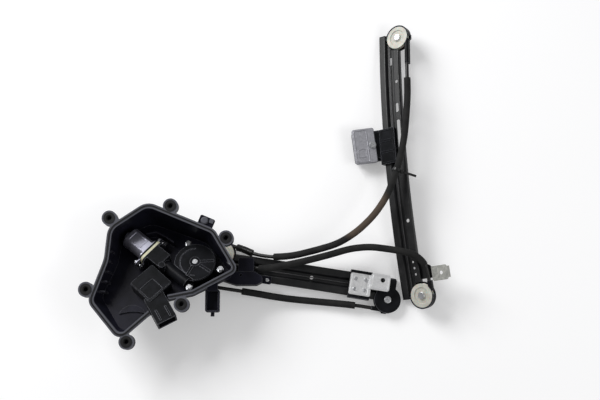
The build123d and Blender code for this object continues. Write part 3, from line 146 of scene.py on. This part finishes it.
# ---- Carrier tub ----
# One deep injection moulding of glass-filled polypropylene that closes the door's inner panel.
# It leaves the tool with a fine spark-eroded grain; its sharp edges carry a pale painted highlight.
GRAIN = 1100            # about 0.9 mm between grains, coarser than the real 0.2 mm so that it shows
FLOW_PATCH = 22         # about 45 mm wide marks where the melt ran
FLANGE_LOW, FLANGE_TOP = 0.0868, 0.0895     # heights between which the walls turn into the flange
FACE_MATCH, EDGE_MATCH = 0.995, 0.8         # cosine between the true and the rounded normal


def dress(material, *names):
    """Gives CAD nodes their finished material."""
    for name in names:
        mesh = nodes[name].data
        mesh.materials.clear()
        mesh.materials.append(material)


def on_piece(tree):
    """Link to the point's place on the piece, in metres, on which every pattern is laid."""
    return add(tree, "ShaderNodeTexCoord"), "Object"


def noise(tree, where, scale, detail, **more):
    """Link to a cloudy pattern of patches 1/scale metres wide."""
    inputs = {"Vector": where, "Scale": scale, "Detail": detail}
    inputs.update(more)
    return add(tree, "ShaderNodeTexNoise", inputs), "Fac"


def two_tones(tree, pattern, dark, pale, start=0.3, end=0.7):
    """Link to a colour that goes from dark to pale as the pattern goes from start to end."""
    ramp = add(tree, "ShaderNodeValToRGB", {"Fac": pattern})
    first, last = ramp.color_ramp.elements
    first.position, first.color = start, linear(dark)
    last.position, last.color = end, linear(pale)
    return ramp, "Color"


def painted_edge_highlight(tree, radius):
    """Link that is 1 along sharp edges, where a pale painted highlight goes, and 0 on faces."""
    rounded = add(tree, "ShaderNodeBevel", {"Radius": radius}, samples=6)
    face = add(tree, "ShaderNodeNewGeometry")
    match = add(tree, "ShaderNodeVectorMath", {0: (rounded, 0), 1: (face, "Normal")}, operation="DOT_PRODUCT")
    edge = add(tree, "ShaderNodeMapRange",
               {"Value": (match, "Value"), "From Min": FACE_MATCH, "From Max": EDGE_MATCH,
                "To Min": 0.0, "To Max": 1.0})
    return edge, 0


def stain_and_painted_light_tone(tree, tone, mask, hex_colour, share):
    """Link to the surface's colour, turned towards another one by a share of the mask."""
    amount = add(tree, "ShaderNodeMath", {0: mask, 1: share}, operation="MULTIPLY")
    mix = add(tree, "ShaderNodeMix", {0: (amount, 0), 6: tone, 7: linear(hex_colour)}, data_type="RGBA")
    return mix, 2


def between(tree, pattern, low, high):
    """Link to a number that the pattern moves between two ends."""
    return add(tree, "ShaderNodeMapRange", {"Value": pattern, "To Min": low, "To Max": high}), "Result"


def relief(tree, pattern, share, depth, edge=0.0):
    """Link to the normal of a surface with a shallow relief, its sharp edges rounded by a radius."""
    inputs = {"Height": pattern, "Strength": share, "Distance": depth}
    if edge:
        inputs["Normal"] = (add(tree, "ShaderNodeBevel", {"Radius": edge}, samples=4), 0)
    return add(tree, "ShaderNodeBump", inputs), 0


def surface(tree, inputs):
    """Ends a material with its surface."""
    shader = add(tree, "ShaderNodeBsdfPrincipled", inputs)
    add(tree, "ShaderNodeOutputMaterial", {"Surface": (shader, 0)})


moulded_polypropylene = new_material("moulded_glass_filled_polypropylene")
tree = moulded_polypropylene.node_tree
where = on_piece(tree)
grain = noise(tree, where, GRAIN, 3.0)
flow = noise(tree, where, FLOW_PATCH, 4.0, Distortion=1.2)
tone = two_tones(tree, flow, "#121219", "#1e1e29", end=0.72)
# The top of the tub, where the walls turn into the flange, is painted paler than the walls: a painted sheen
# of the light on the flange
height = add(tree, "ShaderNodeSeparateXYZ", {"Vector": where})
flange = add(tree, "ShaderNodeMapRange",
             {"Value": (height, "Z"), "From Min": FLANGE_LOW, "From Max": FLANGE_TOP,
              "To Min": 0.0, "To Max": 1.0})
tone = stain_and_painted_light_tone(tree, tone, (flange, 0), "#606168", 0.8)
# The sharp edges are painted pale along a mask: a painted highlight.
tone = stain_and_painted_light_tone(tree, tone, painted_edge_highlight(tree, 0.0012), "#6e6f76", 0.6)
surface(tree, {"Base Color": tone, "Roughness": between(tree, flow, 0.33, 0.42), "IOR": 1.49,
               "Specular IOR Level": 0.1, "Normal": relief(tree, grain, 0.25, 0.0002, edge=0.0006)})
dress(moulded_polypropylene, "motor_carrier_pan", "cable_guide_block", "harness_clip")


# ---- Rim bead and ear grommets ----
# Black EPDM rubber: an extruded bead pressed into the groove of the rim, and moulded bushes that
# keep the screws from shaking the door. The glass clamp's pads are of the same rubber. It is dull,
# with a bloom of wax here and there.
BLOOM = 90              # about 11 mm wide patches of wax bloom
RUBBER_SKIN = 1500      # about 0.7 mm between the bumps of the skin

epdm_rubber = new_material("epdm_rubber")
tree = epdm_rubber.node_tree
where = on_piece(tree)
# The rubber is black, and its tone is pushed darker still: a painted shade, so that the ear grommets read as
# the shaded hollows of the ears.
tone = two_tones(tree, noise(tree, where, BLOOM, 5.0), "#0b0b0c", "#161618", start=0.4, end=0.75)
skin = noise(tree, where, RUBBER_SKIN, 2.0)
surface(tree, {"Base Color": tone, "Roughness": 0.6, "IOR": 1.52, "Specular IOR Level": 0.3,
               "Normal": relief(tree, skin, 0.2, 0.0001)})
dress(epdm_rubber, "rim_seal", "ear_grommets", "glass_clamp_pads")


# ---- Motor can ----
# Deep drawn from zinc plated steel sheet, with two flats. The draw leaves it satin, with fine lines
# along its length, and the plating has a faint violet cast.
DRAW_LINE = 900         # about 1.1 mm between draw lines, coarser than the real ones so that they show
DRAW_STRETCH = (0.04, 1.0, 1.0)
PLATING_CLOUD = 60      # about 17 mm wide clouds in the plating
MOTOR_TURN = (0.26, -0.33, 0.68)    # radians that bring X onto the motor's axis, which is tilted

drawn_zinc_steel = new_material("drawn_zinc_plated_steel")
tree = drawn_zinc_steel.node_tree
where = on_piece(tree)
along = add(tree, "ShaderNodeMapping", {"Vector": where, "Rotation": MOTOR_TURN})
stretch = add(tree, "ShaderNodeMapping", {"Vector": (along, 0), "Scale": DRAW_STRETCH})
lines = noise(tree, (stretch, 0), DRAW_LINE, 2.0)
tone = two_tones(tree, noise(tree, where, PLATING_CLOUD, 4.0), "#a6a6b4", "#c0c0ce")
surface(tree, {"Base Color": tone, "Metallic": 0.85, "Roughness": between(tree, lines, 0.3, 0.46),
               "Normal": relief(tree, lines, 0.15, 0.0001, edge=0.0006)})
dress(drawn_zinc_steel, "motor_can")


# ---- Screws, rivets and shafts ----
# Cold-headed steel, barrel plated with bright zinc. The barrel leaves small dents and a slight haze.
BARREL_DENT = 900       # about 1.1 mm from dent to dent
HAZE = 350              # about 3 mm wide patches of haze

bright_zinc = new_material("bright_zinc_plated_steel")
tree = bright_zinc.node_tree
where = on_piece(tree)
dents = add(tree, "ShaderNodeTexVoronoi", {"Vector": where, "Scale": BARREL_DENT})
haze = noise(tree, where, HAZE, 3.0)
surface(tree, {"Base Color": two_tones(tree, haze, "#b9bbbf", "#dcdddf"), "Metallic": 0.9,
               "Roughness": between(tree, haze, 0.2, 0.38),
               "Normal": relief(tree, (dents, "Distance"), 0.1, 0.0001, edge=0.0004)})
dress(bright_zinc, "can_screws", "motor_screws", "arm_rivets", "pulley_rivets", "lower_carrier_rivets",
      "clamp_bolt", "worm_shaft", "output_shaft")


# ---- Gasket of the motor ----
# A cream silicone frame squeezed between the brush holder and the gear housing. It is moulded, and
# dust has settled into its skin.
SILICONE_MOTTLE = 300   # about 3 mm wide patches of dust

silicone = new_material("cream_silicone")
tree = silicone.node_tree
mottle = noise(tree, on_piece(tree), SILICONE_MOTTLE, 3.0)
surface(tree, {"Base Color": two_tones(tree, mottle, "#bfb89a", "#d8d2b6"), "Roughness": 0.6,
               "Subsurface Weight": 0.1, "Normal": relief(tree, mottle, 0.2, 0.0002)})
dress(silicone, "brush_gasket")


# ---- Gear case, pulley cups, sliders and electronics box ----
# Glass-filled nylon, harder and glossier than the tub. Glass fibres near the skin break the gloss
# up into short streaks.
FIBRE = 1400            # about 0.7 mm between streaks, coarser than the real fibres so that they show
FIBRE_STRETCH = (1.0, 0.35, 1.0)
MELT_PATCH = 70         # about 14 mm wide marks where the melt ran

glass_nylon = new_material("glass_filled_nylon")
tree = glass_nylon.node_tree
where = on_piece(tree)
fibre_space = add(tree, "ShaderNodeMapping", {"Vector": where, "Scale": FIBRE_STRETCH})
fibres = noise(tree, (fibre_space, 0), FIBRE, 2.0)
tone = two_tones(tree, noise(tree, where, MELT_PATCH, 3.0), "#0f1012", "#1a1b1f", start=0.35)
# The sharp edges are painted pale along a mask: a painted highlight.
tone = stain_and_painted_light_tone(tree, tone, painted_edge_highlight(tree, 0.0011), "#8f9098", 0.75)
surface(tree, {"Base Color": tone, "Roughness": between(tree, fibres, 0.24, 0.36), "IOR": 1.53,
               "Specular IOR Level": 0.08, "Normal": relief(tree, fibres, 0.18, 0.0001, edge=0.0006)})
dress(glass_nylon, "gear_housing", "gear_cover", "drum_housing", "brush_holder", "electronics_housing",
      "electronics_lid", "lower_far_housing", "lower_near_housing", "upright_top_housing",
      "upright_bottom_housing", "lower_end_cover", "lower_slider", "upright_slider")


# ---- Rails and the sheet at their foot ----
# Steel sheet, stamped and bent, then dipped in black cathodic electrocoat. The coat is smooth and
# half glossy with a slight orange peel, and its sharp edges are painted paler, a painted highlight.
ORANGE_PEEL = 520       # about 2 mm between the swells of the coat
DUST = 45               # about 22 mm wide patches of dust and handling

electrocoat = new_material("black_electrocoat")
tree = electrocoat.node_tree
where = on_piece(tree)
peel = noise(tree, where, ORANGE_PEEL, 1.0)
dust = noise(tree, where, DUST, 8.0, Roughness=0.65)
tone = two_tones(tree, dust, "#101113", "#222223", start=0.4, end=0.8)
# The sharp edges are painted pale along a mask: a painted highlight.
tone = stain_and_painted_light_tone(tree, tone, painted_edge_highlight(tree, 0.0007), "#5c5c5e", 0.45)
surface(tree, {"Base Color": tone, "Roughness": between(tree, dust, 0.26, 0.46), "IOR": 1.5,
               "Specular IOR Level": 0.4, "Normal": relief(tree, peel, 0.15, 0.0002, edge=0.0005)})
dress(electrocoat, "lower_rail", "upright_rail", "rail_foot")


# ---- Pulleys, drum and worm wheel ----
# Natural acetal, moulded. It is milky, a little see-through at thin places, and yellows slightly.
YELLOWING = 120         # about 8 mm wide patches

acetal = new_material("natural_acetal")
tree = acetal.node_tree
mottle = noise(tree, on_piece(tree), YELLOWING, 4.0)
surface(tree, {"Base Color": two_tones(tree, mottle, "#b3b2a8", "#cfcec5", end=0.75), "Roughness": 0.36,
               "IOR": 1.48, "Subsurface Weight": 0.15, "Subsurface Scale": 0.002,
               "Normal": relief(tree, mottle, 0.1, 0.0003, edge=0.0005)})
dress(acetal, "lower_far_pulley", "lower_near_pulley", "upright_top_pulley", "upright_bottom_pulley",
      "worm_wheel", "cable_drum")


# ---- Glass carrier and clamp ----
# Zinc die castings. The carrier is tumbled bright, and the clamp is left as cast and duller. The
# skin shows flow lines and small pits.
CASTING_SKIN = 420      # about 2.4 mm between the waves of the cast skin


def zinc_casting(name, dark, pale):
    """Material of a bare zinc casting between two tones."""
    material = new_material(name)
    tree = material.node_tree
    waves = noise(tree, on_piece(tree), CASTING_SKIN, 6.0, Distortion=0.8)
    surface(tree, {"Base Color": two_tones(tree, waves, dark, pale), "Metallic": 0.75,
                   "Roughness": between(tree, waves, 0.3, 0.52),
                   "Normal": relief(tree, waves, 0.16, 0.0003, edge=0.0006)})
    return material


bright_casting = zinc_casting("diecast_zinc", "#dedfe0", "#f4f4f5")
dull_casting = zinc_casting("dulled_diecast_zinc", "#a2a2a8", "#bdbdc4")
dress(bright_casting, "lower_glass_carrier")
dress(dull_casting, "glass_clamp_plate")


# ---- Pressed and cast borders ----
# The can's panel, the clamp and the glass carrier have a raised bead round their faces, pressed or cast
# with the piece. It stiffens the face, and the light catches it as a thin line.
BEAD_STEPS = 10         # faces round a bead, and round each of its corners

bead_tree = bpy.data.node_groups.new("raised_bead", "GeometryNodeTree")
bead_sockets = {}
for name, kind in (("Length", "Float"), ("Width", "Float"), ("Corner", "Float"), ("Bead", "Float"),
                   ("Finish", "Material")):
    socket = bead_tree.interface.new_socket(name, in_out="INPUT", socket_type="NodeSocket" + kind)
    bead_sockets[name] = socket.identifier
bead_tree.interface.new_socket("Geometry", in_out="OUTPUT", socket_type="NodeSocketGeometry")
given = add(bead_tree, "NodeGroupInput")
border = add(bead_tree, "GeometryNodeCurvePrimitiveQuadrilateral",
             {"Width": (given, "Length"), "Height": (given, "Width")})
rounded = add(bead_tree, "GeometryNodeFilletCurve",
              {"Curve": (border, 0), "Radius": (given, "Corner"), "Count": BEAD_STEPS}, mode="POLY")
section = add(bead_tree, "GeometryNodeCurvePrimitiveCircle",
              {"Radius": (given, "Bead"), "Resolution": BEAD_STEPS})
swept = add(bead_tree, "GeometryNodeCurveToMesh", {"Curve": (rounded, 0), "Profile Curve": (section, 0)})
whole = add(bead_tree, "GeometryNodeRealizeInstances", {"Geometry": (swept, 0)})
finished = add(bead_tree, "GeometryNodeSetMaterial", {"Geometry": (whole, 0), "Material": (given, "Finish")})
add(bead_tree, "NodeGroupOutput", {"Geometry": (finished, 0)})


def raised_bead(name, body, material, plane, middle, sizes):
    """Bead round a rectangle of length, width, corner and bead radius, on the face of its piece."""
    piece = mesh_object(name, [], [])
    modifier = piece.modifiers.new("raised_bead", "NODES")
    modifier.node_group = bead_tree
    for socket, value in zip(("Length", "Width", "Corner", "Bead"), sizes):
        modifier[bead_sockets[socket]] = value
    modifier[bead_sockets["Finish"]] = material
    evaluated = piece.evaluated_get(bpy.context.evaluated_depsgraph_get())
    mesh = bpy.data.meshes.new_from_object(evaluated)
    piece.modifiers.clear()
    origin, turn = plane
    turned = Euler([radians(angle) for angle in turn], "ZYX").to_matrix().to_4x4()
    mesh.transform(Matrix.Translation(origin) @ turned @ Matrix.Translation(middle))
    piece.data = mesh
    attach(piece, body)


# Each piece's own frame: its origin, and its turn about X, Y and Z in degrees
CAN_PLANE = (-0.14704, -0.1703, 0.06266), (-22.0, 0.0, -40.34)
CLAMP_PLANE = (0.1732, 0.0701, -0.00013), (0.0, 0.0, 7.5)
CARRIER_PLANE = (0.16249, -0.17849, 0.01627), (0.538, 3.468, -8.817)
raised_bead("can_panel_bead", "frame", drawn_zinc_steel,
            CAN_PLANE, (-0.10075, 0, 0.0155), (0.028, 0.0195, 0.0025, 0.0005))
raised_bead("clamp_face_bead", "upright_carrier", dull_casting,
            CLAMP_PLANE, (-0.0055, 0, 0.0246), (0.023, 0.058, 0.003, 0.001))
raised_bead("clamp_panel_bead", "upright_carrier", dull_casting,
            CLAMP_PLANE, (-0.0055, -0.013, 0.0246), (0.015, 0.014, 0.002, 0.0007))
raised_bead("carrier_plate_bead", "lower_carrier", bright_casting,
            CARRIER_PLANE, (-0.0012, 0, 0.0086), (0.031, 0.034, 0.003, 0.0006))
raised_bead("carrier_seat_bead", "lower_carrier", bright_casting,
            CARRIER_PLANE, (0.03325, 0.0085, 0.018), (0.028, 0.0235, 0.003, 0.0006))


# ---- Ribs on the upright slider ----
# Three moulded frames in a row stiffen the slider's bridge between its shoes. They are of the
# slider's own nylon.
SLIDER_PLANE = (0.224, 0.06902, 0.03376), (1.677, -36.978, 94.453)
RIB_PITCH = 0.0205

for step in (-1, 0, 1):
    raised_bead("slider_rib_%d" % (step + 2), "upright_carrier", glass_nylon,
                SLIDER_PLANE, (step * RIB_PITCH, 0.009, 0.00585), (0.017, 0.025, 0.002, 0.0009))


# ---- Galvanised tab at the foot ----
# Hot-dip galvanised sheet, blanked and folded, with the flower pattern of the frozen zinc.
SPANGLE = 260           # about 4 mm wide flowers

galvanised = new_material("hot_dip_galvanised_steel")
tree = galvanised.node_tree
spangle = add(tree, "ShaderNodeTexVoronoi", {"Vector": on_piece(tree), "Scale": SPANGLE})
tone = two_tones(tree, (spangle, "Color"), "#a3a49f", "#c2c2bc", start=0.1, end=0.9)
surface(tree, {"Base Color": tone, "Metallic": 0.7, "Roughness": 0.5,
               "Normal": relief(tree, (spangle, "Distance"), 0.1, 0.0002, edge=0.0005)})
dress(galvanised, "rail_foot_tab")


# ---- Cables and their nipples ----
# Galvanised steel strand of 1.6 mm, with zinc nipples cast on. The wires wind round at a slant.
STRAND_WIRE = 412.698   # about 0.8 mm from wire to wire, coarser than the real 0.3 mm so that it shows
STRAND_SLANT = (0.5, 0.4, 0.7)

wire_strand = new_material("galvanised_wire_strand")
tree = wire_strand.node_tree
slant = add(tree, "ShaderNodeMapping", {"Vector": on_piece(tree), "Rotation": STRAND_SLANT})
wires = add(tree, "ShaderNodeTexWave", {"Vector": (slant, 0), "Scale": STRAND_WIRE}), "Fac"
tone = two_tones(tree, wires, "#2c2c2d", "#6c6c6e", start=0.1)
surface(tree, {"Base Color": tone, "Metallic": 0.8, "Roughness": 0.42,
               "Normal": relief(tree, wires, 0.5, 0.0002)})
dress(wire_strand, "lower_rail_cable", "upright_rail_cable", "lower_cable_nipple", "upright_cable_nipple")


# ---- Conduits and the cable tie ----
# Bowden conduit: a coil of flat wire under a smooth black polyethylene skin, stiff and springy. The
# ribbed boots on its ends and the cable tie have the same skin.
SCUFF = 55              # about 18 mm wide scuffs

conduit_skin = new_material("extruded_polyethylene")
tree = conduit_skin.node_tree
scuff = noise(tree, on_piece(tree), SCUFF, 6.0)
surface(tree, {"Base Color": two_tones(tree, scuff, "#111112", "#212120", start=0.4, end=0.75),
               "Roughness": between(tree, scuff, 0.28, 0.5), "IOR": 1.5, "Specular IOR Level": 0.4,
               "Normal": relief(tree, scuff, 0.1, 0.0003)})
dress(conduit_skin, "conduit_upper", "conduit_middle", "conduit_lower", "conduit_adjuster", "cable_tie")


# ---- Foam sleeves ----
# Split tube of black cross-linked foam that keeps the conduits from rattling in the door. The upper
# one has browned along its free bend, where it leans out into the light.
CELL = 900              # about 1.1 mm foam cells
FOAM_WEAR = 60          # about 17 mm wide worn patches
BROWNED_FROM, BROWNED_TO = 0.015, 0.125     # along the bend's own direction, from the object's middle
BROWNING = (0.669, 0.743, 0.0)
BROWNED_SHARES = (0.12, 0.85)               # where the brown is full, as shares of that stretch
BLACK = (0.0, 0.0, 0.0, 1.0)


def foam(name, browned):
    """Material of the foam, with a browned stretch of a given strength."""
    material = new_material(name)
    tree = material.node_tree
    where = on_piece(tree)
    cells = add(tree, "ShaderNodeTexVoronoi", {"Vector": where, "Scale": CELL})
    wear = noise(tree, where, FOAM_WEAR, 5.0)
    tone = two_tones(tree, wear, "#161617", "#262625", start=0.35, end=0.75)
    reach = add(tree, "ShaderNodeVectorMath", {0: where, 1: BROWNING}, operation="DOT_PRODUCT")
    share = add(tree, "ShaderNodeMapRange",
                {"Value": (reach, "Value"), "From Min": BROWNED_FROM, "From Max": BROWNED_TO})
    band = add(tree, "ShaderNodeValToRGB", {"Fac": (share, 0)})
    for end in band.color_ramp.elements:
        end.color = BLACK
    for place in BROWNED_SHARES:
        band.color_ramp.elements.new(place).color = (browned, browned, browned, 1)
    tone = stain_and_painted_light_tone(tree, tone, (band, 0), "#54483e", 0.8)
    surface(tree, {"Base Color": tone, "Roughness": 0.82, "IOR": 1.45, "Specular IOR Level": 0.3,
                   "Normal": relief(tree, (cells, "Distance"), 0.45, 0.0004)})
    return material


dress(foam("cross_linked_foam", 0.0), "sleeve_middle", "sleeve_lower")
dress(foam("browned_cross_linked_foam", 1.0), "sleeve_upper")


# ---- Inside the motor ----
# Sintered ferrite magnets glued in the can, a stack of varnished laminations on the shaft, a copper
# commutator, and oil-soaked bronze bushes.
FERRITE_GRIT = 1200     # about 0.8 mm wide grains
LAMINATION = 300        # about 1 mm from sheet to sheet, coarser than the real 0.5 mm
COPPER_STAIN = 250      # about 4 mm wide stains
BRONZE_PORE = 1800      # about 0.6 mm from pore to pore

ferrite = new_material("sintered_ferrite")
tree = ferrite.node_tree
grit = noise(tree, on_piece(tree), FERRITE_GRIT, 3.0)
surface(tree, {"Base Color": two_tones(tree, grit, "#3a3b3e", "#58595c", 0.0, 1.0), "Roughness": 0.6})
dress(ferrite, "motor_magnets")

laminations = new_material("varnished_laminations")
tree = laminations.node_tree
along = add(tree, "ShaderNodeMapping", {"Vector": on_piece(tree), "Rotation": MOTOR_TURN})
sheets = add(tree, "ShaderNodeTexWave", {"Vector": (along, 0), "Scale": LAMINATION}), "Fac"
surface(tree, {"Base Color": two_tones(tree, sheets, "#4a3a2c", "#7d766d", 0.0, 1.0),
               "Metallic": 0.6, "Roughness": 0.45})
dress(laminations, "armature_core")

copper = new_material("turned_copper")
tree = copper.node_tree
stain = noise(tree, on_piece(tree), COPPER_STAIN, 4.0)
surface(tree, {"Base Color": two_tones(tree, stain, "#9a5a3c", "#d08c66", 0.0, 1.0),
               "Metallic": 1.0, "Roughness": 0.3})
dress(copper, "commutator", "connector_pins")

bronze = new_material("sintered_bronze")
tree = bronze.node_tree
pores = add(tree, "ShaderNodeTexVoronoi", {"Vector": on_piece(tree), "Scale": BRONZE_PORE})
surface(tree, {"Base Color": two_tones(tree, (pores, "Distance"), "#6e5330", "#b08d57", 0.0, 1.0),
               "Metallic": 0.9, "Roughness": 0.45})
dress(bronze, "shaft_bushes")


# ---- Circuit board ----
# Glass-epoxy board under green lacquer, with its parts soldered on.
BOARD_WEAVE = 800       # about 1.2 mm between the threads that show through the lacquer

board_lacquer = new_material("green_lacquered_board")
tree = board_lacquer.node_tree
weave = noise(tree, on_piece(tree), BOARD_WEAVE, 2.0)
surface(tree, {"Base Color": two_tones(tree, weave, "#0f3d22", "#1f5a35", 0.0, 1.0), "Roughness": 0.35})
dress(board_lacquer, "circuit_board")
